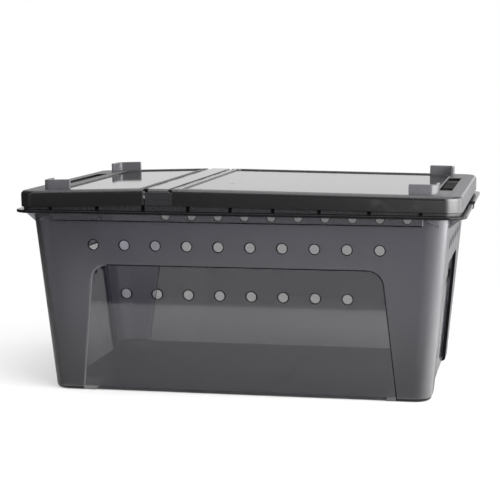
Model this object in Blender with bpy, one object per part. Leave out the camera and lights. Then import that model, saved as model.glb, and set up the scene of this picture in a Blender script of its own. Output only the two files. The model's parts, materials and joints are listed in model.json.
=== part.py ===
"""A portable reptile terrarium: a vented tub under a lid of two flaps, hinged on a fixed cross bar.

Everything is in metres. X runs along the tub, the front is -Y, and Z is up from the table. The lid's pieces
are drawn as they lie flat, and each flap is then turned about its hinge line until its free end rests low.
"""

import math

import bmesh
import bpy
from mathutils import Matrix, Vector

# The tub's flange
FLANGE_LENGTH = 0.320
FLANGE_DEPTH = 0.220
FLANGE_CORNER = 0.0138
FLANGE_TOP = 0.1314
FLANGE_THICKNESS = 0.0022
FLANGE_EDGE = 0.0005
FLANGE_BOTTOM = FLANGE_TOP - FLANGE_THICKNESS

# The tub's walls, which lean out by a share of their height and end inside the flange's edge
END_OVERHANG = 0.0119
SIDE_OVERHANG = 0.0025
END_LEAN_SHARE = 0.092
SIDE_LEAN_SHARE = 0.1046
BASE_HALF_LENGTH = FLANGE_LENGTH / 2 - END_OVERHANG - END_LEAN_SHARE * FLANGE_BOTTOM
BASE_HALF_DEPTH = FLANGE_DEPTH / 2 - SIDE_OVERHANG - SIDE_LEAN_SHARE * FLANGE_BOTTOM
BASE_CORNER = 0.0122
RIM_CORNER = 0.0153
WALL = 0.002
FLOOR = 0.0026
BASE_EDGE = 0.0025
THROAT_DROP = 0.005
THROAT_STEP = 0.0003
THROAT_CORNER = 0.011

# The upstand that the lid's skirt goes over
UPSTAND_END_SETBACK = 0.0049
UPSTAND_SIDE_SETBACK = 0.005
UPSTAND_HEIGHT = 0.0091
UPSTAND_THICKNESS = 0.0016
UPSTAND_CORNER = 0.0097
UPSTAND_HALF_LENGTH = FLANGE_LENGTH / 2 - UPSTAND_END_SETBACK
UPSTAND_HALF_DEPTH = FLANGE_DEPTH / 2 - UPSTAND_SIDE_SETBACK
UPSTAND_TOP = FLANGE_TOP + UPSTAND_HEIGHT
THROAT_HALF_DEPTH = UPSTAND_HALF_DEPTH - UPSTAND_THICKNESS - THROAT_STEP
SLIT_WIDTH = 0.0022
SLIT_HEIGHT = 0.0046
SLIT_STEP = 0.00015
SLIT_PLACE_SHARES = (-0.83, -0.616, -0.406, -0.204, -0.016, 0.171, 0.372, 0.587, 0.806)

# The feet, the band and the ribs under the flange
FOOT_HEIGHT = 0.0007
FOOT_LENGTH = 0.0312
FOOT_DEPTH = 0.036
BAND_HEIGHT = 0.005
BAND_PROUD = 0.0018
BAND_LEFT_MARGIN = 0.031
BAND_RIGHT_MARGIN = 0.029
END_BAND_MARGIN = 0.022
GUSSET_RUN = 0.0089
GUSSET_RISE = 0.0034
GUSSET_GAP = 0.0018
GUSSET_THICKNESS = 0.0012
RIB_THICKNESS = 0.0015
RIB_REACH = 0.0085
RIB_DROP = 0.008
RIB_PLACE_SHARES = (-0.836, -0.418, 0.418, 0.836)
ROOT = 0.0012

# The vent holes, in rows that keep their share of the wall's length and height
VENT_RADIUS = 0.0034
VENT_SIDES = 12
SIDE_PITCH_SHARE = 0.0828
END_PITCH_SHARE = 0.12
UPPER_ROW_SHARE = 0.8151
LOWER_ROW_SHARE = 0.5491
SIDE_UPPER_COUNT = 10
SIDE_LOWER_COUNT = 8
END_UPPER_COUNT = 6
END_LOWER_COUNT = 5

# The recessed windows, which stand in from the base's corners and narrow upward
SIDE_WINDOW_MARGIN = 0.0232
SIDE_WINDOW_TAPER = 0.0103
SIDE_WINDOW_HEIGHT_SHARE = 0.7055
SIDE_WINDOW_RECESS = 0.001
END_WINDOW_MARGIN = 0.034
END_WINDOW_TAPER = 0.007
END_WINDOW_HEIGHT_SHARE = 0.6925
END_WINDOW_RECESS = 0.0025
WINDOW_CORNER = 0.010
WINDOW_BORDER = 0.002

# The lid, which fits over the upstand
SKIRT_GAP = 0.0004
SKIRT_WALL = 0.0016
SKIRT_HEIGHT = 0.0116
LID_RISE = 0.0069
LID_EDGE = 0.003
PLATE = 0.0018
SKIRT_HALF_LENGTH = UPSTAND_HALF_LENGTH + SKIRT_GAP + SKIRT_WALL
SKIRT_HALF_DEPTH = UPSTAND_HALF_DEPTH + SKIRT_GAP + SKIRT_WALL
SKIRT_CORNER = UPSTAND_CORNER + SKIRT_GAP + SKIRT_WALL
LID_TOP = UPSTAND_TOP + LID_RISE
SKIRT_BOTTOM = LID_TOP - SKIRT_HEIGHT
PANEL_RECESS = 0.0009
PANEL_BORDER = 0.0015
PANEL_CORNER = 0.004
PANEL_HINGE_GAP = 0.005
SIDE_RAIL = 0.007
RIGHT_END_RAIL = 0.0211
LEFT_END_RAIL = 0.0276
PANEL_HALF_DEPTH = SKIRT_HALF_DEPTH - SIDE_RAIL
LUG_END_MARGIN = 0.0171
LUG_SIDE_MARGIN = 0.0092
LUG_LEG = 0.020
LUG_THICKNESS = 0.0022
LUG_HEIGHT = 0.007
LUG_CORNER = 0.005
LUG_HALF_LENGTH = SKIRT_HALF_LENGTH - LUG_END_MARGIN
LUG_HALF_DEPTH = SKIRT_HALF_DEPTH - LUG_SIDE_MARGIN

# The hinges, one on each side of a bar that lies left of the lid's middle
BAR_PLACE_SHARE = 0.34087
HINGE_SPREAD = 0.0201
HINGE_DROP = 0.0022
HINGE_END_MARGIN = 0.009
LEFT_SLOPE = math.radians(1.7)
RIGHT_SLOPE = math.radians(0.7)
KNUCKLE_RADIUS = 0.0019
KNUCKLE_SIDES = 16
KNUCKLE_COUNT = 7
PIN_RADIUS = 0.0008
PIN_SIDES = 12
BAR_EDGE_GAP = 0.0028
FLAP_EDGE_GAP = 0.0024
NECK_TOP = 0.001
NECK_BOTTOM = 0.0016
BAR_THICKNESS = 0.003
BAR_LEG = 0.0026
BAR_LEG_HEIGHT = 0.008
BAR_LEFT_SEAM = 0.0007
BAR_RIGHT_SEAM = 0.0004
LEFT_FLAP_SEAM = 0.0008
RIGHT_FLAP_SEAM = 0.0
BAR_GROOVE_DROP = 0.0074
BAR_GROOVE_HEIGHT = 0.001
BAR_GROOVE_DEPTH = 0.0005
BAR_GROOVE_MARGIN = 0.0039
LEFT_HINGE_X = -BAR_PLACE_SHARE * SKIRT_HALF_LENGTH - HINGE_SPREAD / 2
RIGHT_HINGE_X = LEFT_HINGE_X + HINGE_SPREAD
HINGE_Z = LID_TOP - HINGE_DROP
KNUCKLE_SPAN = 2 * (SKIRT_HALF_DEPTH - HINGE_END_MARGIN)
KNUCKLE_PITCH = KNUCKLE_SPAN / KNUCKLE_COUNT

# The latches, each in a recess of its flap's end rail
RECESS_END_MARGIN = 0.0101
RECESS_WIDTH = 0.0095
RECESS_LENGTH_SHARE = 0.5607
RECESS_JOIN_SHARE = 0.65
RECESS_DEPTH = 0.002
RECESS_FLOOR = 0.0016
LATCH_END_MARGIN = 0.0146
LATCH_DROP = 0.004
LATCH_HALF_LENGTH = 0.0275
LATCH_BARREL = 0.0017
PAD_DROP = 0.001
PAD_THICKNESS = 0.0018
BOSS_LENGTH = 0.004
BOSS_HALF_WIDTH = 0.0026
BOSS_DROP = 0.0066
ARM_TOP_DROP = 0.0044
ARM_THICKNESS = 0.0018
LEG_END_MARGIN = 0.0056
LEG_THICKNESS = 0.002
HOOK_HEIGHT = 0.0034
HOOK_DROP = 0.0016
HOOK_HALF_WIDTH = 0.008
NOTCH_SIDE_GAP = 0.005
NOTCH_END_GAP = 0.001
RECESS_OUTER = SKIRT_HALF_LENGTH - RECESS_END_MARGIN
RECESS_INNER = RECESS_OUTER - RECESS_WIDTH
RECESS_HALF_LENGTH = RECESS_LENGTH_SHARE * SKIRT_HALF_DEPTH
LATCH_X = SKIRT_HALF_LENGTH - LATCH_END_MARGIN
LATCH_Z = LID_TOP - LATCH_DROP
LEG_INNER = SKIRT_HALF_LENGTH - LEG_END_MARGIN
HOOK_REACH = FLANGE_LENGTH / 2
HOOK_BOTTOM = FLANGE_BOTTOM - HOOK_DROP
NOTCH_HALF_WIDTH = HOOK_HALF_WIDTH + NOTCH_SIDE_GAP
NOTCH_START = LEG_INNER - NOTCH_END_GAP

# Colours, as linear shares of red, green and blue, and roughness
TUB_COLOUR = (0.10, 0.10, 0.115)
FLAP_COLOUR = (0.07, 0.07, 0.08)
BAR_COLOUR = (0.05, 0.05, 0.06)
LATCH_COLOUR = (0.012, 0.012, 0.014)
STEEL_COLOUR = (0.62, 0.62, 0.64)
SATIN = 0.35
DULL = 0.45

# Fits and drawing
GAP = 0.0003
SIDE_GAP = 0.0005
OVERRUN = 0.005
CORNER_STEPS = 6
EDGE_STEPS = 3
SHARP_ANGLE = math.radians(35)
BORE_RADIUS = PIN_RADIUS + GAP

RIGHT = {
    "side": 1,
    "hinge": RIGHT_HINGE_X,
    "slope": RIGHT_SLOPE,
    "panel": SKIRT_HALF_LENGTH - RIGHT_END_RAIL,
    "seam": RIGHT_FLAP_SEAM,
}
LEFT = {
    "side": -1,
    "hinge": -LEFT_HINGE_X,
    "slope": LEFT_SLOPE,
    "panel": SKIRT_HALF_LENGTH - LEFT_END_RAIL,
    "seam": LEFT_FLAP_SEAM,
}


def clear_scene():
    for old in list(bpy.data.objects):
        bpy.data.objects.remove(old)


def plastic(name, colour, roughness):
    """A Principled material of one colour."""
    material = bpy.data.materials.new(name)
    material.use_nodes = True
    shader = material.node_tree.nodes["Principled BSDF"]
    shader.inputs["Base Color"].default_value = (*colour, 1)
    shader.inputs["Roughness"].default_value = roughness
    shader.inputs["Metallic"].default_value = 0
    return material


def steel(name, colour, roughness):
    """A Principled material of bare metal."""
    material = plastic(name, colour, roughness)
    material.node_tree.nodes["Principled BSDF"].inputs["Metallic"].default_value = 1
    return material


def wall_half_length(z):
    return BASE_HALF_LENGTH + END_LEAN_SHARE * z


def wall_half_depth(z):
    return BASE_HALF_DEPTH + SIDE_LEAN_SHARE * z


def wall_corner(z):
    return BASE_CORNER + (RIM_CORNER - BASE_CORNER) * z / FLANGE_BOTTOM


def rounded_rectangle(half_x, half_y, radius):
    """Outline points, anticlockwise from the +X side."""
    points = []
    for quarter, (sign_x, sign_y) in enumerate(((1, 1), (-1, 1), (-1, -1), (1, -1))):
        for step in range(CORNER_STEPS + 1):
            angle = math.pi / 2 * (quarter + step / CORNER_STEPS)
            x = sign_x * (half_x - radius) + radius * math.cos(angle)
            y = sign_y * (half_y - radius) + radius * math.sin(angle)
            points.append((x, y))
    return points


def skin(loops):
    """A closed mesh through equal loops of points, capped at the first and the last."""
    shape = bmesh.new()
    rows = [[shape.verts.new(point) for point in loop] for loop in loops]
    for lower, upper in zip(rows, rows[1:]):
        for i, corner in enumerate(lower):
            j = (i + 1) % len(lower)
            shape.faces.new((corner, lower[j], upper[j], upper[i]))
    shape.faces.new(rows[0])
    shape.faces.new(rows[-1])
    bmesh.ops.recalc_face_normals(shape, faces=shape.faces)
    return shape


def loft(rings):
    """A closed mesh through rounded rectangles of (half x, half y, corner radius, z)."""
    loops = []
    for half_x, half_y, radius, z in rings:
        loops.append([(x, y, z) for x, y in rounded_rectangle(half_x, half_y, radius)])
    return skin(loops)


def box(x_ends, y_ends, z_ends):
    """A box between pairs of ends, given in either order."""
    ends = [sorted(pair) for pair in (x_ends, y_ends, z_ends)]
    centre = Vector([(low + high) / 2 for low, high in ends])
    size = [high - low for low, high in ends]
    shape = bmesh.new()
    matrix = Matrix.Translation(centre) @ Matrix.Diagonal((*size, 1))
    bmesh.ops.create_cube(shape, size=1, matrix=matrix)
    return shape


def rod(radius, start, end, sides):
    """A round bar from one point to another."""
    start = Vector(start)
    along = Vector(end) - start
    turn = along.to_track_quat("Z", "Y").to_matrix().to_4x4()
    shape = bmesh.new()
    bmesh.ops.create_cone(
        shape,
        cap_ends=True,
        segments=sides,
        radius1=radius,
        radius2=radius,
        depth=along.length,
        matrix=Matrix.Translation(start + along / 2) @ turn,
    )
    return shape


def together(shapes):
    """One mesh of shapes that stand clear of each other."""
    whole = bmesh.new()
    for shape in shapes:
        mesh = bpy.data.meshes.new("piece")
        shape.to_mesh(mesh)
        shape.free()
        whole.from_mesh(mesh)
        bpy.data.meshes.remove(mesh)
    return whole


def to_triangles(shape, mesh):
    """Writes the shape into the mesh as triangles, which are flat, so a Boolean takes them well."""
    bmesh.ops.triangulate(shape, faces=shape.faces)
    shape.to_mesh(mesh)
    shape.free()


def make_object(name, shape, material=None):
    """An object of the shape, as triangles."""
    mesh = bpy.data.meshes.new(name)
    to_triangles(shape, mesh)
    if material:
        mesh.materials.append(material)
    made = bpy.data.objects.new(name, mesh)
    bpy.context.scene.collection.objects.link(made)
    return made


def combine(target, shape, operation):
    """Applies one Boolean. EXACT leaves the tub and the flaps open, and the rest too at some sizes."""
    tool = make_object("tool", shape)
    tool.hide_render = True
    tool.display_type = "WIRE"
    modifier = target.modifiers.new(operation, "BOOLEAN")
    modifier.object = tool
    modifier.operation = operation
    modifier.solver = "MANIFOLD"
    bpy.context.view_layer.update()
    graph = bpy.context.evaluated_depsgraph_get()
    after = bpy.data.meshes.new_from_object(target.evaluated_get(graph))
    result = bmesh.new()
    result.from_mesh(after)
    bpy.data.meshes.remove(after)
    target.modifiers.clear()
    to_triangles(result, target.data)
    bpy.data.objects.remove(tool)


def add(target, *shapes):
    for shape in shapes:
        combine(target, shape, "UNION")


def cut(target, *shapes):
    for shape in shapes:
        combine(target, shape, "DIFFERENCE")


def finish(made, pivot, parent=None, slope=0):
    """Names the mesh, shades it and moves its origin onto the pivot."""
    made.data.name = made.name
    made.data.transform(Matrix.Translation(-Vector(pivot)))
    made.data.shade_smooth()
    made.data.set_sharp_from_angle(angle=SHARP_ANGLE)
    made.location = pivot
    if parent:
        made.parent = parent
        made.location = Vector(pivot) - Vector(parent["pivot"])
    made.rotation_euler.y = slope
    made["pivot"] = tuple(pivot)
    return made


def rounding(radius, steps):
    """Pairs of (inset, rise) round a quarter circle, from flat to upright."""
    pairs = []
    for step in range(steps + 1):
        angle = math.pi / 2 * step / steps
        pairs.append((radius * (1 - math.sin(angle)), radius * (1 - math.cos(angle))))
    return pairs


def tub_shell():
    """The tub's plain walls, floor, flange and upstand, from the underside out, up and in again."""
    rings = []
    for inset, rise in rounding(BASE_EDGE, EDGE_STEPS):
        half_x = wall_half_length(rise) - inset
        half_y = wall_half_depth(rise) - inset
        rings.append((half_x, half_y, wall_corner(rise) - inset, rise))
    z = FLANGE_BOTTOM
    rings.append((wall_half_length(z), wall_half_depth(z), wall_corner(z), z))
    half_x = FLANGE_LENGTH / 2
    half_y = FLANGE_DEPTH / 2
    for inset, z in (
        (FLANGE_EDGE, FLANGE_BOTTOM),
        (0, FLANGE_BOTTOM + FLANGE_EDGE),
        (0, FLANGE_TOP - FLANGE_EDGE),
        (FLANGE_EDGE, FLANGE_TOP),
    ):
        rings.append((half_x - inset, half_y - inset, FLANGE_CORNER - inset, z))
    for inset, z in (
        (0, FLANGE_TOP),
        (0, UPSTAND_TOP),
        (UPSTAND_THICKNESS, UPSTAND_TOP),
        (UPSTAND_THICKNESS, FLANGE_TOP),
    ):
        rings.append((UPSTAND_HALF_LENGTH - inset, UPSTAND_HALF_DEPTH - inset, UPSTAND_CORNER - inset, z))
    throat_half_length = wall_half_length(FLANGE_BOTTOM) - WALL
    for z in (FLANGE_TOP, FLANGE_BOTTOM):
        rings.append((throat_half_length, THROAT_HALF_DEPTH, THROAT_CORNER, z))
    z = FLANGE_BOTTOM - THROAT_DROP
    rings.append((wall_half_length(z) - WALL, wall_half_depth(z) - WALL, wall_corner(z) - WALL, z))
    for inset, rise in reversed(rounding(WALL, EDGE_STEPS)):
        z = FLOOR + rise
        inset += WALL
        rings.append((wall_half_length(z) - inset, wall_half_depth(z) - inset, wall_corner(z) - inset, z))
    return loft(rings)


def window_outline(half_bottom, half_top, low, high, corner):
    """Points of (across, z) round a window that narrows upward to two rounded corners."""
    lean = (half_bottom - half_top) / high
    points = []
    for side in (1, -1):
        arc = []
        for step in range(CORNER_STEPS + 1):
            angle = math.pi / 2 * step / CORNER_STEPS
            z = high - corner + corner * math.sin(angle)
            arc.append((side * (half_bottom - lean * z - corner + corner * math.cos(angle)), z))
        foot = (side * (half_bottom - lean * low), low)
        points += [foot] + arc if side > 0 else arc[::-1] + [foot]
    return points


def on_side(across, z, offset, side):
    """A point on the front or back wall, moved out by the offset."""
    return (across, side * (wall_half_depth(z) + offset), z)


def on_end(across, z, offset, side):
    """A point on an end wall, moved out by the offset."""
    return (side * (wall_half_length(z) + offset), across, z)


def wall_slab(outline, place, side, inner, outer):
    """A slab on a leaning wall, between two offsets from the wall's outer face."""
    return skin([[place(across, z, offset, side) for across, z in outline] for offset in (inner, outer)])


def add_windows(tub):
    """Four recessed windows, each with the wall behind it moved inward by the recess."""
    half_side = BASE_HALF_LENGTH - SIDE_WINDOW_MARGIN
    half_end = BASE_HALF_DEPTH - END_WINDOW_MARGIN
    kinds = (
        (on_side, half_side, SIDE_WINDOW_TAPER, SIDE_WINDOW_HEIGHT_SHARE, SIDE_WINDOW_RECESS),
        (on_end, half_end, END_WINDOW_TAPER, END_WINDOW_HEIGHT_SHARE, END_WINDOW_RECESS),
    )
    for place, half_bottom, taper, height_share, recess in kinds:
        half_top = half_bottom - taper
        height = height_share * FLANGE_TOP
        back = window_outline(
            half_bottom + WINDOW_BORDER,
            half_top + WINDOW_BORDER,
            (FOOT_HEIGHT + FLOOR) / 2,
            height + WINDOW_BORDER,
            WINDOW_CORNER + WINDOW_BORDER,
        )
        front = window_outline(half_bottom, half_top, -OVERRUN, height, WINDOW_CORNER)
        for side in (-1, 1):
            add(tub, wall_slab(back, place, side, -recess - WALL, -WALL / 2))
            cut(tub, wall_slab(front, place, side, -recess, OVERRUN))


def band_ends():
    """The X ends of the bands on the front and back walls."""
    return (BAND_LEFT_MARGIN - FLANGE_LENGTH / 2, FLANGE_LENGTH / 2 - BAND_RIGHT_MARGIN)


def add_bands(tub):
    """The raised band under the flange on all four sides, which stops short of the corners."""
    z_ends = (FLANGE_BOTTOM - BAND_HEIGHT, FLANGE_TOP - FLANGE_THICKNESS / 2)
    for side in (-1, 1):
        near = side * (wall_half_depth(FLANGE_BOTTOM - BAND_HEIGHT) - ROOT)
        far = side * (wall_half_depth(FLANGE_BOTTOM) + BAND_PROUD)
        add(tub, box(band_ends(), (near, far), z_ends))
        near = side * (wall_half_length(FLANGE_BOTTOM - BAND_HEIGHT) - ROOT)
        far = side * (wall_half_length(FLANGE_BOTTOM) + BAND_PROUD)
        reach = FLANGE_DEPTH / 2 - END_BAND_MARGIN
        add(tub, box((near, far), (-reach, reach), z_ends))


def add_gussets(tub):
    """The slanting ribs on the front and back walls, past each end of the band."""
    high = FLANGE_BOTTOM - GUSSET_THICKNESS / 2
    low = high - GUSSET_RISE
    for band_end, outward in zip(band_ends(), (-1, 1)):
        near = band_end + outward * GUSSET_GAP
        far = near + outward * GUSSET_RUN
        outline = [
            (near, high),
            (far, low),
            (far, low - GUSSET_THICKNESS),
            (near, high - GUSSET_THICKNESS),
        ]
        for side in (-1, 1):
            add(tub, wall_slab(outline, on_side, side, -ROOT, BAND_PROUD))


def add_ribs(tub):
    """The upright ribs that carry the flange's overhang at the ends, which make the hand grips."""
    top = FLANGE_TOP - FLANGE_THICKNESS / 2
    for side in (-1, 1):
        for share in RIB_PLACE_SHARES:
            y = share * FLANGE_DEPTH / 2
            inner = wall_half_length(FLANGE_BOTTOM) - ROOT
            outer = wall_half_length(FLANGE_BOTTOM) + RIB_REACH
            outline = ((inner, FLANGE_BOTTOM - RIB_DROP), (outer, FLANGE_BOTTOM), (outer, top), (inner, top))
            faces = []
            for edge in (y - RIB_THICKNESS / 2, y + RIB_THICKNESS / 2):
                faces.append([(side * x, edge, z) for x, z in outline])
            add(tub, skin(faces))


def cut_feet(tub):
    """Hollows the underside along both middles, which leaves a foot at each corner."""
    z_ends = (-OVERRUN, FOOT_HEIGHT)
    reach_x = BASE_HALF_LENGTH + OVERRUN
    reach_y = BASE_HALF_DEPTH + OVERRUN
    inner_x = BASE_HALF_LENGTH - FOOT_LENGTH
    inner_y = BASE_HALF_DEPTH - FOOT_DEPTH
    cut(tub, box((-inner_x, inner_x), (-reach_y, reach_y), z_ends))
    cut(tub, box((-reach_x, reach_x), (-inner_y, inner_y), z_ends))


def row_places(count, pitch):
    """Evenly spaced places about the middle."""
    return [(i - (count - 1) / 2) * pitch for i in range(count)]


def cut_vents(tub):
    """The vent holes, each bored straight through both facing walls."""
    reach_x = FLANGE_LENGTH / 2 + OVERRUN
    reach_y = FLANGE_DEPTH / 2 + OVERRUN
    sides = []
    ends = []
    side_pitch = SIDE_PITCH_SHARE * BASE_HALF_LENGTH * 2
    end_pitch = END_PITCH_SHARE * BASE_HALF_DEPTH * 2
    for share, side_count, end_count in (
        (UPPER_ROW_SHARE, SIDE_UPPER_COUNT, END_UPPER_COUNT),
        (LOWER_ROW_SHARE, SIDE_LOWER_COUNT, END_LOWER_COUNT),
    ):
        z = share * FLANGE_TOP
        for x in row_places(side_count, side_pitch):
            sides.append(rod(VENT_RADIUS, (x, -reach_y, z), (x, reach_y, z), VENT_SIDES))
        for y in row_places(end_count, end_pitch):
            ends.append(rod(VENT_RADIUS, (-reach_x, y, z), (reach_x, y, z), VENT_SIDES))
    cut(tub, together(sides), together(ends))


def cut_rim(tub):
    """The slits in the long upstands, and the notch for each latch's hook."""
    reach_y = FLANGE_DEPTH / 2 + OVERRUN
    z_ends = (FLANGE_TOP + SLIT_STEP, FLANGE_TOP + SLIT_HEIGHT)
    slits = []
    for share in SLIT_PLACE_SHARES:
        x = share * FLANGE_LENGTH / 2
        x_ends = (x - SLIT_WIDTH / 2, x + SLIT_WIDTH / 2)
        slits.append(box(x_ends, (-reach_y, reach_y), z_ends))
    cut(tub, together(slits))
    for side in (-1, 1):
        x_ends = (side * NOTCH_START, side * (FLANGE_LENGTH / 2 + OVERRUN))
        y_ends = (-NOTCH_HALF_WIDTH, NOTCH_HALF_WIDTH)
        cut(tub, box(x_ends, y_ends, (FLANGE_BOTTOM - BAND_HEIGHT / 2, UPSTAND_TOP + OVERRUN)))


def make_tub():
    tub = make_object("tub", tub_shell(), plastic("tub_plastic", TUB_COLOUR, SATIN))
    add_windows(tub)
    add_bands(tub)
    add_gussets(tub)
    add_ribs(tub)
    cut_feet(tub)
    cut_vents(tub)
    cut_rim(tub)
    return finish(tub, (0, 0, 0))


def knuckle_ends(first):
    """The (low, high) Y ends of every second knuckle, from the given place along the hinge."""
    ends = []
    for i in range(first, KNUCKLE_COUNT, 2):
        low = -KNUCKLE_SPAN / 2 + i * KNUCKLE_PITCH
        ends.append((low + SIDE_GAP / 2, low + KNUCKLE_PITCH - SIDE_GAP / 2))
    return ends


def add_knuckles(target, hinge_x, plate_x, first):
    """Hinge barrels with the necks that join them to a plate, bored for the pin."""
    for low, high in knuckle_ends(first):
        add(target, rod(KNUCKLE_RADIUS, (hinge_x, low, HINGE_Z), (hinge_x, high, HINGE_Z), KNUCKLE_SIDES))
        add(target, box((hinge_x, plate_x), (low, high), (HINGE_Z - NECK_BOTTOM, HINGE_Z + NECK_TOP)))
    reach = KNUCKLE_SPAN / 2 - ROOT
    cut(target, rod(BORE_RADIUS, (hinge_x, -reach, HINGE_Z), (hinge_x, reach, HINGE_Z), PIN_SIDES))


def bar_profile():
    """Points of (y, z) round the bar: a plate that ends at each side in a block with two legs."""
    half = []
    block = UPSTAND_TOP + GAP
    outer_inside = SKIRT_HALF_DEPTH - SKIRT_WALL
    inner_outside = UPSTAND_HALF_DEPTH - UPSTAND_THICKNESS - GAP
    inner_inside = inner_outside - BAR_LEG
    for inset, drop in rounding(LID_EDGE, EDGE_STEPS):
        half.append((SKIRT_HALF_DEPTH - inset, LID_TOP - drop))
    half.append((SKIRT_HALF_DEPTH, SKIRT_BOTTOM))
    half.append((outer_inside, SKIRT_BOTTOM))
    half.append((outer_inside, block))
    half.append((inner_outside, block))
    half.append((inner_outside, block - BAR_LEG_HEIGHT))
    half.append((inner_inside, block - BAR_LEG_HEIGHT))
    half.append((inner_inside, LID_TOP - BAR_THICKNESS))
    return half + [(-y, z) for y, z in reversed(half)]


def make_hinge_bar():
    """The fixed bar between the flaps: wide at its end blocks, narrower where the hinges run."""
    left = LEFT_HINGE_X + BAR_LEFT_SEAM
    right = RIGHT_HINGE_X - BAR_RIGHT_SEAM
    faces = [[(x, y, z) for y, z in bar_profile()] for x in (left, right)]
    bar = make_object("hinge_bar", skin(faces), plastic("bar_plastic", BAR_COLOUR, SATIN))
    span = KNUCKLE_SPAN / 2 + SIDE_GAP
    reach = SKIRT_HALF_DEPTH + OVERRUN
    above = LID_TOP + OVERRUN
    below = UPSTAND_TOP - BAR_LEG_HEIGHT - OVERRUN
    for hinge_x, side in ((LEFT_HINGE_X, 1), (RIGHT_HINGE_X, -1)):
        x_ends = (hinge_x - side * OVERRUN, hinge_x + side * BAR_EDGE_GAP)
        cut(bar, box(x_ends, (-reach, reach), (HINGE_Z - GAP, above)))
        cut(bar, box(x_ends, (-span, span), (below, above)))
        plate_x = hinge_x + side * (BAR_EDGE_GAP + ROOT)
        add_knuckles(bar, hinge_x, plate_x, 0)
    groove_ends = (left + BAR_GROOVE_MARGIN, right - ROOT)
    groove_z = LID_TOP - BAR_GROOVE_DROP
    y_ends = (-SKIRT_HALF_DEPTH - OVERRUN, BAR_GROOVE_DEPTH - SKIRT_HALF_DEPTH)
    cut(bar, box(groove_ends, y_ends, (groove_z - BAR_GROOVE_HEIGHT, groove_z)))
    return finish(bar, (0, 0, 0))


def lid_shell():
    """The whole lid's plate and skirt, before it is parted into flaps."""
    rings = []
    for inset, drop in rounding(LID_EDGE, EDGE_STEPS):
        z = LID_TOP - drop
        rings.append((SKIRT_HALF_LENGTH - inset, SKIRT_HALF_DEPTH - inset, SKIRT_CORNER - inset, z))
    rings.append((SKIRT_HALF_LENGTH, SKIRT_HALF_DEPTH, SKIRT_CORNER, SKIRT_BOTTOM))
    under = LID_TOP - PLATE
    slant = LID_EDGE - SKIRT_WALL
    for inset, z in (
        (SKIRT_WALL, SKIRT_BOTTOM),
        (SKIRT_WALL, under - slant),
        (SKIRT_WALL + slant, under),
    ):
        rings.append((SKIRT_HALF_LENGTH - inset, SKIRT_HALF_DEPTH - inset, SKIRT_CORNER - inset, z))
    return loft(rings)


def lug_shape(side, front):
    """An L-shaped stacking lug at one corner of the lid, with its outer corner rounded."""
    outline = []
    arc_x = LUG_HALF_LENGTH - LUG_CORNER
    arc_y = LUG_HALF_DEPTH - LUG_CORNER
    inside = LUG_CORNER - LUG_THICKNESS
    outline.append((LUG_HALF_LENGTH, LUG_HALF_DEPTH - LUG_LEG))
    for step in range(CORNER_STEPS + 1):
        angle = math.pi / 2 * step / CORNER_STEPS
        outline.append((arc_x + LUG_CORNER * math.cos(angle), arc_y + LUG_CORNER * math.sin(angle)))
    outline.append((LUG_HALF_LENGTH - LUG_LEG, LUG_HALF_DEPTH))
    outline.append((LUG_HALF_LENGTH - LUG_LEG, LUG_HALF_DEPTH - LUG_THICKNESS))
    for step in range(CORNER_STEPS, -1, -1):
        angle = math.pi / 2 * step / CORNER_STEPS
        outline.append((arc_x + inside * math.cos(angle), arc_y + inside * math.sin(angle)))
    outline.append((LUG_HALF_LENGTH - LUG_THICKNESS, LUG_HALF_DEPTH - LUG_LEG))
    loops = []
    for z in (LID_TOP - PANEL_RECESS - PLATE / 2, LID_TOP + LUG_HEIGHT):
        loops.append([(side * x, front * y, z) for x, y in outline])
    return skin(loops)


def add_panel(flap, half):
    """The glossy panel: a recess in the plate, with the plate behind it moved down."""
    start = half["hinge"] + PANEL_HINGE_GAP
    middle = (start + half["panel"]) / 2
    half_length = (half["panel"] - start) / 2
    for sign, border, top, bottom in (
        (1, PANEL_BORDER, LID_TOP - PLATE / 2 - PANEL_RECESS / 2, LID_TOP - PANEL_RECESS - PLATE),
        (-1, 0, LID_TOP + OVERRUN, LID_TOP - PANEL_RECESS),
    ):
        shape = loft(
            [
                (half_length + border, PANEL_HALF_DEPTH + border, PANEL_CORNER + border, z)
                for z in (bottom, top)
            ]
        )
        shape.transform(Matrix.Translation((half["side"] * middle, 0, 0)))
        if sign > 0:
            add(flap, shape)
        else:
            cut(flap, shape)


def add_latch_recess(flap, side):
    """The recess in the end rail, open in its middle for the lever, with a boss at each end of the lever."""
    border = PANEL_BORDER
    floor_top = LID_TOP - RECESS_DEPTH
    floor_bottom = floor_top - RECESS_FLOOR
    inner = side * (RECESS_INNER - border)
    outer = side * (RECESS_OUTER + border)
    reach = RECESS_HALF_LENGTH + border
    open_half = LATCH_HALF_LENGTH + SIDE_GAP
    add(flap, box((inner, outer), (-reach, reach), (floor_bottom, LID_TOP - RECESS_JOIN_SHARE * PLATE)))
    for front in (-1, 1):
        x_ends = (side * (LATCH_X - BOSS_HALF_WIDTH), side * (LATCH_X + BOSS_HALF_WIDTH))
        y_ends = (front * open_half, front * (open_half + BOSS_LENGTH))
        add(flap, box(x_ends, y_ends, (LID_TOP - BOSS_DROP, floor_top - RECESS_FLOOR / 2)))
    x_ends = (side * RECESS_INNER, side * RECESS_OUTER)
    cut(flap, box(x_ends, (-RECESS_HALF_LENGTH, RECESS_HALF_LENGTH), (floor_top, LID_TOP + OVERRUN)))
    cut(flap, box(x_ends, (-open_half, open_half), (floor_bottom - OVERRUN, LID_TOP)))
    reach = open_half + BOSS_LENGTH - ROOT / 2
    x = side * LATCH_X
    cut(flap, rod(BORE_RADIUS, (x, -reach, LATCH_Z), (x, reach, LATCH_Z), PIN_SIDES))


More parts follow.
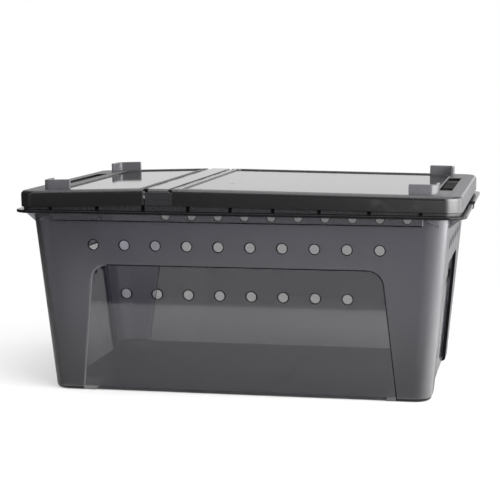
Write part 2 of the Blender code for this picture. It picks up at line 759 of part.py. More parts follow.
def make_flap(name, half):
    """One lid flap, cut from the lid at its hinge line."""
    side = half["side"]
    flap = make_object(name, lid_shell(), plastic(name + "_plastic", FLAP_COLOUR, SATIN))
    hinge = half["hinge"]
    reach_x = SKIRT_HALF_LENGTH + OVERRUN
    reach_y = SKIRT_HALF_DEPTH + OVERRUN
    z_ends = (SKIRT_BOTTOM - OVERRUN, LID_TOP + OVERRUN)
    span = KNUCKLE_SPAN / 2 + SIDE_GAP
    cut(flap, box((-side * reach_x, side * (hinge + half["seam"])), (-reach_y, reach_y), z_ends))
    add_panel(flap, half)
    cut(flap, box((side * (hinge - OVERRUN), side * (hinge + FLAP_EDGE_GAP)), (-span, span), z_ends))
    add_knuckles(flap, side * hinge, side * (hinge + FLAP_EDGE_GAP + ROOT), 1)
    add_latch_recess(flap, side)
    for front in (-1, 1):
        add(flap, lug_shape(side, front))
    return finish(flap, (side * hinge, 0, HINGE_Z), slope=side * half["slope"])


def make_hinge_pin(name, flap, material):
    """A straight wire pin inside a hinge's knuckles."""
    x = flap["pivot"][0]
    reach = KNUCKLE_SPAN / 2 - ROOT - GAP
    pin = make_object(name, rod(PIN_RADIUS, (x, -reach, HINGE_Z), (x, reach, HINGE_Z), PIN_SIDES), material)
    return finish(pin, (x, 0, HINGE_Z))


def make_latch(name, flap, half):
    """The lever: a pad and a barrel in the recess, an arm under the rail, and a leg down to the hook."""
    side = half["side"]
    drop = half["slope"] * (LEG_INNER - half["hinge"])
    hook_bottom = HOOK_BOTTOM + drop
    x = side * LATCH_X
    reach = LATCH_HALF_LENGTH
    latch = make_object(
        name,
        rod(LATCH_BARREL, (x, -reach, LATCH_Z), (x, reach, LATCH_Z), KNUCKLE_SIDES),
        plastic(name + "_plastic", LATCH_COLOUR, DULL),
    )
    pad_top = LID_TOP - PAD_DROP
    pad_bottom = pad_top - PAD_THICKNESS
    arm_top = LID_TOP - ARM_TOP_DROP
    arm_bottom = arm_top - ARM_THICKNESS
    leg_outer = LEG_INNER + LEG_THICKNESS
    x_ends = (side * (RECESS_INNER + SIDE_GAP), side * (RECESS_OUTER - SIDE_GAP))
    y_ends = (-HOOK_HALF_WIDTH, HOOK_HALF_WIDTH)
    add(latch, box(x_ends, (-reach, reach), (pad_bottom, pad_top)))
    add(latch, box((x, side * leg_outer), y_ends, (arm_bottom, arm_top)))
    add(latch, box((side * LEG_INNER, side * leg_outer), y_ends, (hook_bottom, arm_top)))
    hook_ends = (side * LEG_INNER, side * HOOK_REACH)
    add(latch, box(hook_ends, y_ends, (hook_bottom, hook_bottom + HOOK_HEIGHT)))
    over = reach + OVERRUN
    cut(latch, rod(BORE_RADIUS, (x, -over, LATCH_Z), (x, over, LATCH_Z), PIN_SIDES))
    return finish(latch, (x, 0, LATCH_Z), parent=flap)


def make_latch_pin(name, flap, half, material):
    """The short pin that a latch turns on, held in its flap's bosses."""
    x = half["side"] * LATCH_X
    reach = LATCH_HALF_LENGTH + SIDE_GAP + BOSS_LENGTH - ROOT / 2 - GAP
    pin = make_object(name, rod(PIN_RADIUS, (x, -reach, LATCH_Z), (x, reach, LATCH_Z), PIN_SIDES), material)
    return finish(pin, (x, 0, LATCH_Z), parent=flap)


def main():
    clear_scene()
    make_tub()
    make_hinge_bar()
    pin_steel = steel("pin_steel", STEEL_COLOUR, SATIN)
    for word, half in (("right", RIGHT), ("left", LEFT)):
        flap = make_flap(word + "_flap", half)
        make_hinge_pin(word + "_hinge_pin", flap, pin_steel)
        make_latch(word + "_latch", flap, half)
        make_latch_pin(word + "_latch_pin", flap, half, pin_steel)


main()
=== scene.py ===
"""The portable reptile terrarium, dressed from its CAD frame for a studio render. Everything is in metres."""

import json
import math

import bmesh
import bpy
import numpy as np
from mathutils import Matrix, Vector

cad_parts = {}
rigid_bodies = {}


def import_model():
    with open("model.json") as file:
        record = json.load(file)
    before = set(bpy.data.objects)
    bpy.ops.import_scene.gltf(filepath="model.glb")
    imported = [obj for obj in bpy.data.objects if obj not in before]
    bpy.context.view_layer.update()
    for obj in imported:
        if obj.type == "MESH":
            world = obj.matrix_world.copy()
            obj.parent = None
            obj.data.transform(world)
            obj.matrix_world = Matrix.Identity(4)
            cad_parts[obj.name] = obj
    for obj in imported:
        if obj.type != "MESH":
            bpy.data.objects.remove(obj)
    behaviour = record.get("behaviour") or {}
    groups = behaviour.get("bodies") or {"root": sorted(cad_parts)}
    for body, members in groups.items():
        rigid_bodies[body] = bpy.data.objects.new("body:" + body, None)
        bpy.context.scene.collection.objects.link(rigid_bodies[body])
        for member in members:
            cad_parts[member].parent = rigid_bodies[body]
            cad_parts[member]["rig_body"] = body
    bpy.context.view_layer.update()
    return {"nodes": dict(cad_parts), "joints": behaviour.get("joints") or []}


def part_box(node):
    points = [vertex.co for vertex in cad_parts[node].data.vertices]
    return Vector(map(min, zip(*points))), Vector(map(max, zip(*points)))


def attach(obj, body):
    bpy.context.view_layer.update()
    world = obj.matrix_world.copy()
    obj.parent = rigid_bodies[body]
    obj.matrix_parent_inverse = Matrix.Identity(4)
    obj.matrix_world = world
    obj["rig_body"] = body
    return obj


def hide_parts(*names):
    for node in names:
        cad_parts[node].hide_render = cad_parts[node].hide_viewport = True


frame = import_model()

# The camera, fitted to the photograph's vent rows, rim and base
CAMERA_PLACE = (0.212482, -1.139095, 0.235399)
CAMERA_YAW = 0.191991
CAMERA_PITCH = 0.122393
CAMERA_ROLL = -0.002113
CAMERA_FOCUS_SHARE = 3.063149
CAMERA_FAR = 50
SENSOR_WIDTH = 36.0

# The tub, as the CAD has it
TUB_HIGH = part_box("tub")[1]
FLANGE_CORNER = 0.0138
FLANGE_TOP = 0.1314
FLANGE_BOTTOM = 0.1292
FLANGE_EDGE = 0.0007
END_OVERHANG = 0.0119
SIDE_OVERHANG = 0.0025
END_LEAN = 0.092
SIDE_LEAN = 0.1046
BASE_HALF_LENGTH = TUB_HIGH.x - END_OVERHANG - END_LEAN * FLANGE_BOTTOM
BASE_HALF_DEPTH = TUB_HIGH.y - SIDE_OVERHANG - SIDE_LEAN * FLANGE_BOTTOM
BASE_CORNER = 0.0122
RIM_CORNER = 0.0153
WALL = 0.002
FLOOR = 0.0026
BASE_EDGE = 0.0025
THROAT_DROP = 0.005
THROAT_HALF_DEPTH = 0.1031
THROAT_CORNER = 0.011
UPSTAND_HALF_LENGTH = 0.1551
UPSTAND_HALF_DEPTH = 0.105
UPSTAND_THICKNESS = 0.0016
UPSTAND_CORNER = 0.0097
SLIT_WIDTH = 0.0022
SLIT_TOP = 0.136
SLIT_STEP = 0.00015
SLIT_DEPTH = 0.0011
SLIT_REACH = 0.51 * SLIT_DEPTH
SLIT_PLACE_SHARES = (-0.83, -0.616, -0.406, -0.204, -0.016, 0.171, 0.372, 0.587, 0.806)
FOOT_HEIGHT = 0.0007
FOOT_START_X = 0.105
FOOT_START_Y = 0.058
BAND_HEIGHT = 0.005
BAND_PROUD = 0.0018
BAND_LEFT = -0.129
BAND_RIGHT = 0.131
END_BAND_HALF = 0.088
GUSSET_RUN = 0.0089
GUSSET_RISE = 0.0034
GUSSET_GAP = 0.0018
GUSSET_THICKNESS = 0.0012
RIB_THICKNESS = 0.0015
RIB_REACH = 0.0085
RIB_DROP = 0.008
RIB_PLACES = (-0.092, -0.046, 0.046, 0.092)
ROOT = 0.0012
VENT_RADIUS = 0.0034
VENT_FLARE = 0.0008
VENT_PITCH = 0.02256
UPPER_ROW = 0.1071
LOWER_ROW = 0.07215
SIDE_UPPER_COUNT = 10
SIDE_LOWER_COUNT = 8
END_UPPER_COUNT = 6
END_LOWER_COUNT = 5
SIDE_WINDOW = {"bottom": 0.113, "top": 0.1027, "height": 0.0927, "recess": 0.001}
END_WINDOW = {"bottom": 0.060, "top": 0.053, "height": 0.091, "recess": 0.0025}
WINDOW_CORNER = 0.010
WINDOW_BORDER = 0.002
SIDE_WINDOW_CORNER = WINDOW_CORNER - SIDE_WINDOW["top"]
LIP_WIDTH = 0.0006
LIP_DEPTH = 0.00025
PLANE_REACH = LIP_DEPTH / 3
NOTCH_HALF_WIDTH = 0.013
NOTCH_START = 0.1505

# The lid
LID_TOP = 0.1474
SLOPES = {"right_flap": math.radians(0.7), "left_flap": -math.radians(1.7)}
PANEL_RECESS = 0.0009
PANEL_HINGE_GAP = 0.005
PANEL_ENDS = {"right_flap": 0.136, "left_flap": -0.1295}
PANEL_GLOSS = {"right_flap": 0.47, "left_flap": 0.38}
RECESS_FLOOR_DROP = 0.002
SKIRT_START = LID_TOP - RECESS_FLOOR_DROP * 2
RECESS_OUTER = 0.148
RECESS_HALF_LENGTH = 0.062
LUG_CORNER_RISE = 0.004
HINGES = {joint["child"]: Vector(joint["pos_m"]) for joint in frame["joints"] if joint["child"] in SLOPES}

# The gate mark on the right panel
MARK = (-0.015, -0.035, 0.1464)
MARK_RADIUS = 0.0016
MARK_EDGE = 0.0005
MARK_HEIGHT = 0.0002
MARK_TONE = 0.004
MARK_SHARE = 0.7
MARK_ROUGHNESS = 0.3

# The tub's walls darken downward over this height: a painted shade toward the floor
FADE_MIDDLE = 0.045
FADE_HEIGHT = 0.09

# Where round a tub corner's turn the sheen and the painted shade set in, as (middle, width) shares of its radius.
# The painted shade darkens the left front corner, and the sheen is a glossier coat on the right front corner where
# the side lamp's highlight falls.
SHEEN_FROM_FRONT = (0.6, 0.5)
SHADE_FROM_FRONT = (0.48, 0.3)
FROM_END = (0.15, 0.3)
SHEEN_ROUGHNESS = 0.27
SHEEN_IOR = 1.8
SHADE_DEPTH = 0.97

# What all the smoke-grey plastic has. A tint is the share of red that green and blue have.
PLASTIC_TINT = (0.98, 1.08)
NEUTRAL = (1, 1)
PLASTIC_IOR = 1.5
CLOUD = {"scale": 11, "detail": 3}
CLOUD_TONE = 0.14
CLOUD_ROUGHNESS = 0.05
GRIT = {"scale": 900, "detail": 2}
GRIT_ROUGHNESS = 0.1
SCUFF = {"scale": 60, "detail": 5, "stretch": (1, 0.1, 1)}
SCUFF_START = (0.66, 0.12)
SCUFF_ROUGHNESS = 0.08
RIPPLE = {"scale": 16, "detail": 1}
SPECK_SCALE = 120
SPECK_SIZE = 0.06
SPECK_SHARE = 0.2
SPECK_EDGE = 0.02
SPECK_TONE = 0.6

# The finishes of the smoke-grey plastic, and the painted shade and highlights among them, as smoke_plastic takes
# them, in the order that paint_tub, paint_flap and paint_bar use
TUB_FINISHES_AND_PAINTED_LIGHT = {
    "frosted_wall": {
        "tone": 0.26,
        "roughness": 0.42,
        "glow": 0.98,
        "gloss": 0.15,
        "grain": 0.00003,
        "low_tone": 0.6,
        "corners": True,
        "tint": (0.985, 1.12),
    },
    "clear_window": {
        "tone": 0.008,
        "roughness": 0.05,
        "alpha": 0.48,
        "ripple": 0.00002,
        "specks": 0.5,
        "tint": (0.955, 1.65),
    },
    "clear_band": {"tone": 0.03, "roughness": 0.08, "alpha": 0.62, "ripple": 0.00002},
    # Painted shade: window_edge is near black round the windows' rims, for the shadow at their tops and right sides.
    # The lighter edge below it is a painted highlight on the front and back windows' left rims and on the band's two
    # ends
    "window_edge": {"tone": 0.003, "roughness": 0.4, "gloss": 0.05},
    "painted_highlight_edge": {"tone": 0.09, "roughness": 0.35, "gloss": 0.5},
    "polished_rim": {"tone": 0.006, "roughness": 0.2, "alpha": 0.97, "gloss": 0.2, "grain": 0.00001},
    "upstand": {"tone": 0.026, "roughness": 0.28, "alpha": 0.97, "gloss": 0.5, "grain": 0.00001},
    # Painted shade: near black in the vents' flares and walls, in the blind slits and along the band's foot
    "painted_shade_edge": {"tone": 0.003, "roughness": 0.5, "gloss": 0.05},
}
FLAP_FINISHES_AND_PAINTED_SHADE = {
    "panel": {"tone": 0.015, "roughness": 0.05, "alpha": 0.88, "ripple": 0.000006},
    "rail": {"tone": 0.06, "roughness": 0.46, "alpha": 0.96, "gloss": 0.5, "grain": 0.00002},
    "lug": {"tone": 0.1, "roughness": 0.25, "alpha": 0.87, "gloss": 0.6, "grain": 0.000004},
    "skirt": {"tone": 0.005, "roughness": 0.32, "alpha": 0.98, "gloss": 1.0, "grain": 0.000004},
    # Painted shade: the latch recess goes near black for the shade inside it
    "recess": {"tone": 0.004, "roughness": 0.5, "gloss": 0.1, "grain": 0.00001},
}
BAR_FINISHES = {
    "bar_top": {"tone": 0.015, "roughness": 0.07, "alpha": 0.9, "gloss": 0.5, "ripple": 0.00002},
    "bar_ends": {"tone": 0.018, "roughness": 0.4, "alpha": 0.98, "gloss": 0.3, "grain": 0.000004},
}

# The latches' black plastic
BLACK_CLOUD = {"scale": 40, "detail": 3}
BLACK_TONES = (0.004, 0.01)
BLACK_ROUGHNESS = 0.5
BLACK_GRIT_ROUGHNESS = 0.15
BLACK_GLOSS = 0.02
BLACK_GRAIN = 0.00004

# The pins' steel
STEEL_LINES = {"scale": 2500, "detail": 1, "stretch": (1, 0.02, 1)}
STEEL_COLOURS = ((0.5, 0.5, 0.51, 1), (0.72, 0.72, 0.73, 1))
STEEL_ROUGHNESS = 0.22
STEEL_LINE_ROUGHNESS = 0.2
STEEL_LINE_HEIGHT = 0.00002

# How squarely a face has to look along an axis to count as flat, as a leaning wall's, or as a flap's end
FLAT_FACING = 0.99
WALL_FACING = 0.8
END_FACING = 0.95

# The studio
WORLD_LIGHT = 0.75
LAMPS = {
    "key": {"place": (0.2, -0.2, 1.4), "target": (0, 0, 0.07), "size": (1.3, 1.3), "power": 10},
    "side": {"place": (0.725, -0.49, 0.27), "target": (0.15, -0.09, 0.1), "size": (1.0, 0.54), "power": 14},
    "front_side": {"place": (0.32, -0.78, 0.27), "target": (0.15, -0.09, 0.1), "size": (0.4, 0.54), "power": 0.7},
    "end": {"place": (0.7, 0.15, 0.2), "target": (0.15, -0.09, 0.08), "size": (0.5, 0.5), "power": 2.4},
}
STUDIO_CLOUD = {"scale": 3, "detail": 2}
FLOOR_CORNERS = ((-2, -2, 0), (2, -2, 0), (2, 2, 0), (-2, 2, 0))
FLOOR_TONES = (0.93, 0.9)
FLOOR_CLEAR = 0.4
FLOOR_FADE = (0.36, 0.36)
CARD_TONES = (0.02, 0.04)
CARDS = {
    "front_card": ((-1.5, -2.2, 0.0004), (1.5, -2.2, 0.0004), (1.5, -0.265, 0.0004), (-1.5, -0.265, 0.0004)),
    "back_card": ((-1.5, -2.2, 0), (0.6, -2.2, 0), (0.6, -2.2, 1.1), (-1.5, -2.2, 1.1)),
    "left_card": ((-0.5, -0.5, 0), (-0.5, 0.55, 0), (-0.5, 0.55, 0.9), (-0.5, -0.5, 0.9)),
}

# Drawing
CORNER_STEPS = 14
EDGE_STEPS = 5
ROUND_SIDES = 40
OVERRUN = 0.005
FINE_BEVEL = 0.0003
PIN_EDGE = 0.0002
TUB_BEVEL = 0.00035
MERGE = 0.000001
VENT_OVERLAP = MERGE * 10
LEVEL = 0.00002
FLAT_ANGLE = math.radians(0.4)
SHARP_ANGLE = math.radians(28)
WIDEST_BEVEL = 0.0009
BEVEL_SEGMENTS = 3
NORMAL_WEIGHT = 90
ROOM_SHARE = 0.42
HALF = 0.5


# Meshes


def rounded_rectangles(rings):
    """Rows of points round rounded rectangles of (half x, half y, radius, z).

    Each corner is its centre plus the radius times (cos, sin) of an angle that runs on by a quarter turn.
    """
    rings = np.asarray(rings, float)
    angle = math.pi / 2 * (np.arange(4)[:, None] + np.linspace(0, 1, CORNER_STEPS + 1))
    sign_x = np.array([1, -1, -1, 1])[:, None]
    sign_y = np.array([1, 1, -1, -1])[:, None]
    half_x, half_y, radius, z = (column[:, None, None] for column in rings.T)
    x = sign_x * (half_x - radius) + radius * np.cos(angle)
    y = sign_y * (half_y - radius) + radius * np.sin(angle)
    z = np.broadcast_to(z, x.shape)
    return np.stack((x, y, z), axis=-1).reshape(len(rings), -1, 3)


def grid_faces(rows, columns):
    """Quads of a grid whose columns close on themselves, row after row."""
    row, column = np.meshgrid(np.arange(rows - 1), np.arange(columns), indexing="ij")
    following = (column + 1) % columns
    corners = (row * columns + column, row * columns + following)
    above = ((row + 1) * columns + following, (row + 1) * columns + column)
    return np.stack(corners + above, axis=-1).reshape(-1, 4)


def closed_mesh(name, shapes):
    """One mesh of closed skins, each a grid of rows of points with a flat cap at its first and last row."""
    points = []
    faces = []
    count = 0
    for shape in shapes:
        shape = np.asarray(shape, float)
        rows, columns = shape.shape[:2]
        points.append(shape.reshape(-1, 3))
        faces += (grid_faces(rows, columns) + count).tolist()
        faces.append(list(range(count, count + columns)))
        faces.append(list(range(count + (rows - 1) * columns, count + rows * columns)))
        count += rows * columns
    mesh = bpy.data.meshes.new(name)
    mesh.from_pydata(np.concatenate(points).tolist(), [], faces)
    tidy = bmesh.new()
    tidy.from_mesh(mesh)
    bmesh.ops.recalc_face_normals(tidy, faces=tidy.faces)
    bmesh.ops.triangulate(tidy, faces=tidy.faces)
    tidy.to_mesh(mesh)
    tidy.free()
    return mesh


def new_object(name, data):
    """Puts a mesh, a lamp or a camera into the scene."""
    made = bpy.data.objects.new(name, data)
    bpy.context.scene.collection.objects.link(made)
    return made


def apply_modifiers(piece):
    """Gives a piece the mesh that its modifiers make."""
    bpy.context.view_layer.update()
    graph = bpy.context.evaluated_depsgraph_get()
    mesh = bpy.data.meshes.new_from_object(piece.evaluated_get(graph))
    old = piece.data
    piece.modifiers.clear()
    piece.data = mesh
    bpy.data.meshes.remove(old)


def combine(target, shapes, operation):
    """Cuts or joins closed skins that stand clear of each other."""
    tool = new_object("tool", closed_mesh("tool", shapes))
    modifier = target.modifiers.new(operation, "BOOLEAN")
    modifier.object = tool
    modifier.operation = operation
    modifier.solver = "MANIFOLD"
    apply_modifiers(target)
    bpy.data.objects.remove(tool)


def add(target, shape):
    combine(target, [shape], "UNION")


def cut(target, shapes):
    combine(target, shapes, "DIFFERENCE")


def box(x_ends, y_ends, z_ends):
    """A box as a skin of two rows: its outline at the low z and at the high z."""
    (x0, x1), (y0, y1), (z0, z1) = (sorted(ends) for ends in (x_ends, y_ends, z_ends))
    outline = ((x0, y0), (x1, y0), (x1, y1), (x0, y1))
    return [[(x, y, z) for x, y in outline] for z in (z0, z1)]


def circle():
    """Points of (cos, sin) round a unit circle."""
    angle = np.linspace(0, 2 * math.pi, ROUND_SIDES, endpoint=False)
    return np.column_stack((np.cos(angle), np.sin(angle)))


def room_in_face(points):
    """How near each edge of a face's outline comes to another stretch of the same outline.

    A corner counts for an edge where the straight way to it is under half the way round, and a neighbour's far end
    counts where the outline turns sharply.
    """
    along = np.roll(points, -1, axis=0) - points
    length = np.linalg.norm(along, axis=1)
    away = points[None] - points[:, None]
    share = np.clip((away * along[:, None]).sum(axis=2) / (length**2)[:, None], 0, 1)
    gap = np.linalg.norm(away - share[..., None] * along[:, None], axis=2)
    start = np.cumsum(length) - length
    ahead = (start[None] - (start + length)[:, None]) % length.sum()
    behind = (start[:, None] - start[None]) % length.sum()
    gap[gap > HALF * np.minimum(ahead, behind)] = math.inf
    here = np.arange(len(points))
    gap[here, here] = math.inf
    gap[here, np.roll(here, -1)] = math.inf
    corner = gap.min(axis=0)
    room = np.minimum(gap.min(axis=1), np.minimum(corner, np.roll(corner, -1)))
    turn = np.linalg.norm(np.cross(along, np.roll(along, -1, axis=0)), axis=1)
    sharp = turn > HALF * length * np.roll(length, -1)
    after = np.where(sharp, turn / length, math.inf)
    before = np.roll(np.where(sharp, turn / np.roll(length, -1), math.inf), 1)
    return np.minimum(room, np.minimum(after, before))


def weigh_edges(shape, width, wide=None):
    """Gives every sharp edge its share of the widest bevel: the width, or less where its faces have less room."""
    layer = shape.edges.layers.float.new("bevel_weight_edge")
    room = {}
    for edge in shape.edges:
        if edge.is_manifold and edge.calc_face_angle() > SHARP_ANGLE:
            room[edge] = WIDEST_BEVEL if wide and wide(edge) else width
    for face in shape.faces:
        if any(edge in room for edge in face.edges):
            gaps = room_in_face(np.array([loop.vert.co for loop in face.loops]))
            for loop, gap in zip(face.loops, gaps):
                if loop.edge in room:
                    room[loop.edge] = min(room[loop.edge], ROOM_SHARE * gap)
    for edge, width in room.items():
        edge[layer] = width / WIDEST_BEVEL


def soften(piece, width, wide=None, holes=()):
    """Joins flat faces into one, rounds the sharp edges a little, cuts the holes and shades the whole smooth."""
    shape = bmesh.new()
    shape.from_mesh(piece.data)
    bmesh.ops.remove_doubles(shape, verts=shape.verts, dist=MERGE)
    bmesh.ops.dissolve_limit(shape, angle_limit=FLAT_ANGLE, verts=shape.verts, edges=shape.edges)
    weigh_edges(shape, width, wide)
    bmesh.ops.triangulate(shape, faces=[face for face in shape.faces if len(face.verts) > 4])
    shape.to_mesh(piece.data)
    shape.free()
    piece.data.shade_smooth()
    bevel = piece.modifiers.new("edges", "BEVEL")
    bevel.width = WIDEST_BEVEL
    bevel.segments = BEVEL_SEGMENTS
    bevel.limit_method = "WEIGHT"
    bevel.use_clamp_overlap = False
    apply_modifiers(piece)
    if holes:
        cut(piece, holes)
    weigh = piece.modifiers.new("normals", "WEIGHTED_NORMAL")
    weigh.mode = "FACE_AREA"
    weigh.weight = NORMAL_WEIGHT
    weigh.keep_sharp = True
    apply_modifiers(piece)


def centres_and_normals(mesh):
    """Arrays of the faces' centres and normals."""
    centres = np.empty(len(mesh.polygons) * 3)
    normals = np.empty(len(mesh.polygons) * 3)
    mesh.polygons.foreach_get("center", centres)
    mesh.polygons.foreach_get("normal", normals)
    return centres.reshape(-1, 3), normals.reshape(-1, 3)


# The tub


def half_length(z):
    """Half the tub's outer length at a height: the underside's, plus the end walls' lean times the height."""
    return BASE_HALF_LENGTH + END_LEAN * z


def half_depth(z):
    """Half the tub's outer depth at a height: the underside's, plus the long walls' lean times the height."""
    return BASE_HALF_DEPTH + SIDE_LEAN * z


def wall_corner(z):
    """The radius of the tub's upright corners, which grows evenly from the underside to the flange."""
    return BASE_CORNER + (RIM_CORNER - BASE_CORNER) * z / FLANGE_BOTTOM


def rounding(radius):
    """Pairs of (inset, rise) round a quarter circle, from flat to upright."""
    angle = np.linspace(0, math.pi / 2, EDGE_STEPS + 1)
    return list(zip(radius * (1 - np.sin(angle)), radius * (1 - np.cos(angle))))


def wall_ring(z, inset):
    """The wall's outline at a height, moved in by the inset."""
    return (half_length(z) - inset, half_depth(z) - inset, wall_corner(z) - inset, z)


def tub_rings():
    """The tub's section from the underside out, up over the flange and the upstand, and down inside."""
    rings = [wall_ring(rise, inset) for inset, rise in rounding(BASE_EDGE)]
    rings.append(wall_ring(FLANGE_BOTTOM, 0))
    turns = rounding(FLANGE_EDGE)
    flange = [(inset, FLANGE_BOTTOM + rise) for inset, rise in turns]
    flange += [(inset, FLANGE_TOP - rise) for inset, rise in reversed(turns)]
    for inset, z in flange:
        rings.append((TUB_HIGH.x - inset, TUB_HIGH.y - inset, FLANGE_CORNER - inset, z))
    for inset, z in (
        (0, FLANGE_TOP),
        (0, TUB_HIGH.z),
        (UPSTAND_THICKNESS, TUB_HIGH.z),
        (UPSTAND_THICKNESS, FLANGE_TOP),
    ):
        rings.append((UPSTAND_HALF_LENGTH - inset, UPSTAND_HALF_DEPTH - inset, UPSTAND_CORNER - inset, z))
    throat = half_length(FLANGE_BOTTOM) - WALL
    for z in (FLANGE_TOP, FLANGE_BOTTOM):
        rings.append((throat, THROAT_HALF_DEPTH, THROAT_CORNER, z))
    rings.append(wall_ring(FLANGE_BOTTOM - THROAT_DROP, WALL))
    rings += [wall_ring(FLOOR + rise, WALL + inset) for inset, rise in reversed(rounding(WALL))]
    return rings


def window_outline(window, low, border=0):
    """Points of (across, z) round a window and its border, which narrows upward to two rounded corners.

    Each corner is a quarter circle that leans in with the window's side.
    """
    half_bottom = window["bottom"] + border
    half_top = window["top"] + border
    high = window["height"] + border
    corner = WINDOW_CORNER + border
    lean = (half_bottom - half_top) / high
    angle = np.linspace(0, math.pi / 2, CORNER_STEPS + 1)
    z = high - corner + corner * np.sin(angle)
    across = half_bottom - lean * z - corner + corner * np.cos(angle)
    right = np.vstack(([half_bottom - lean * low, low], np.column_stack((across, z))))
    left = right[::-1] * (-1, 1)
    return np.vstack((right, left))


def on_side(outline, offset, side):
    """The outline laid on the front or back wall, moved out by the offset."""
    across, z = outline.T
    return np.column_stack((across, side * (half_depth(z) + offset), z))


def on_end(outline, offset, side):
    """The outline laid on an end wall, moved out by the offset."""
    across, z = outline.T
    return np.column_stack((side * (half_length(z) + offset), across, z))


def cut_windows(tub):
    """Recesses the four windows, with the wall behind each one moved inward by as much."""
    for place, window in ((on_side, SIDE_WINDOW), (on_end, END_WINDOW)):
        back = window_outline(window, (FOOT_HEIGHT + FLOOR) / 2, WINDOW_BORDER)
        front = window_outline(window, -OVERRUN)
        lip = window_outline(window, -OVERRUN, LIP_WIDTH)
        for side in (-1, 1):
            add(tub, [place(back, offset, side) for offset in (-window["recess"] - WALL, -WALL / 2)])
            cut(tub, [[place(front, offset, side) for offset in (-window["recess"], OVERRUN)]])
            cut(tub, [[place(lip, offset, side) for offset in (-LIP_DEPTH, OVERRUN)]])


def add_under_flange(tub):
    """The band, the slanting gussets and the upright ribs under the flange."""
    middle = (FLANGE_TOP + FLANGE_BOTTOM) / 2
    band_bottom = FLANGE_BOTTOM - BAND_HEIGHT
    for side in (-1, 1):
        y_ends = (side * (half_depth(band_bottom) - ROOT), side * (half_depth(FLANGE_BOTTOM) + BAND_PROUD))
        add(tub, box((BAND_LEFT, BAND_RIGHT), y_ends, (band_bottom, middle)))
        x_ends = (side * (half_length(band_bottom) - ROOT), side * (half_length(FLANGE_BOTTOM) + BAND_PROUD))
        add(tub, box(x_ends, (-END_BAND_HALF, END_BAND_HALF), (band_bottom, middle)))
        high = FLANGE_BOTTOM - GUSSET_THICKNESS / 2
        for near, outward in ((BAND_LEFT - GUSSET_GAP, -1), (BAND_RIGHT + GUSSET_GAP, 1)):
            far = near + outward * GUSSET_RUN
            low = high - GUSSET_RISE
            top_edge = np.array([(near, high), (far, low)])
            outline = np.vstack((top_edge, top_edge[::-1] - (0, GUSSET_THICKNESS)))
            add(tub, [on_side(outline, offset, side) for offset in (-ROOT, BAND_PROUD)])
        for y in RIB_PLACES:
            inner = half_length(FLANGE_BOTTOM) - ROOT
            outer = half_length(FLANGE_BOTTOM) + RIB_REACH
            outline = ((inner, FLANGE_BOTTOM - RIB_DROP), (outer, FLANGE_BOTTOM), (outer, middle), (inner, middle))
            edges = (y - RIB_THICKNESS / 2, y + RIB_THICKNESS / 2)
            add(tub, [[(side * x, edge, z) for x, z in outline] for edge in edges])


def row_places(count):
    """Where the vents of a row stand: one pitch apart, about the middle of the wall."""
    return (np.arange(count) - (count - 1) / 2) * VENT_PITCH


def vent_cutters():
    """One cutter for each vent: a circle carried through its wall, and flared in a quarter round at both faces."""
    flared = [(VENT_RADIUS + inset, rise) for inset, rise in rounding(VENT_FLARE)]
    wide = VENT_RADIUS + VENT_FLARE
    profile = [(wide, WALL)]
    profile += [(radius, VENT_OVERLAP - depth) for radius, depth in flared]
    profile += [(radius, depth - WALL - VENT_OVERLAP) for radius, depth in reversed(flared)]
    profile.append((wide, -2 * WALL))
    cutters = []
    for place, upper, lower, recess in (
        (on_side, SIDE_UPPER_COUNT, SIDE_LOWER_COUNT, SIDE_WINDOW["recess"]),
        (on_end, END_UPPER_COUNT, END_LOWER_COUNT, END_WINDOW["recess"]),
    ):
        centres = [(across, UPPER_ROW, 0) for across in row_places(upper)]
        centres += [(across, LOWER_ROW, recess) for across in row_places(lower)]
        for side in (-1, 1):
            for across, height, drop in centres:
                rows = [(radius * circle() + (across, height), offset - drop) for radius, offset in profile]
                cutters.append([place(outline, offset, side) for outline, offset in rows])
    return cutters


def cut_tub_openings(tub):
    """The feet's hollows, the slits in the upstand and the latch notches."""
    reach_x = TUB_HIGH.x + OVERRUN
    reach_y = TUB_HIGH.y + OVERRUN
    z_ends = (-OVERRUN, FOOT_HEIGHT)
    cut(tub, [box((-FOOT_START_X, FOOT_START_X), (-reach_y, reach_y), z_ends)])
    cut(tub, [box((-reach_x, reach_x), (-FOOT_START_Y, FOOT_START_Y), z_ends)])
    slits = []
    for share in SLIT_PLACE_SHARES:
        x = share * TUB_HIGH.x
        x_ends = (x - SLIT_WIDTH / 2, x + SLIT_WIDTH / 2)
        for side in (-1, 1):
            y_ends = (side * reach_y, side * (UPSTAND_HALF_DEPTH - SLIT_DEPTH))
            slits.append(box(x_ends, y_ends, (FLANGE_TOP + SLIT_STEP, SLIT_TOP)))
    cut(tub, slits)
    notches = []
    for side in (-1, 1):
        x_ends = (side * NOTCH_START, side * reach_x)
        z_ends = (FLANGE_BOTTOM - BAND_HEIGHT / 2, TUB_HIGH.z + OVERRUN)
        notches.append(box(x_ends, (-NOTCH_HALF_WIDTH, NOTCH_HALF_WIDTH), z_ends))
    cut(tub, notches)


def foot_of_band(edge):
    """Whether an edge runs along the foot of the front or the back band, on its outer side."""
    low, high = edge.verts[0].co, edge.verts[1].co
    bottom = FLANGE_BOTTOM - BAND_HEIGHT
    level = max(abs(low.z - bottom), abs(high.z - bottom)) < LEVEL
    outside = min(abs(low.y), abs(high.y)) > half_depth(bottom) + HALF * BAND_PROUD
    return level and outside and abs(high.x - low.x) > WALL


def make_tub():
    """The tub in place of its node: its section, windows, parts under the flange, openings, edges and vents."""
    tub = new_object("tub_body", closed_mesh("tub_body", [rounded_rectangles(tub_rings())]))
    cut_windows(tub)
    add_under_flange(tub)
    cut_tub_openings(tub)
    soften(tub, TUB_BEVEL, foot_of_band, vent_cutters())
    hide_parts("tub")
    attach(tub, "tub")
    return tub


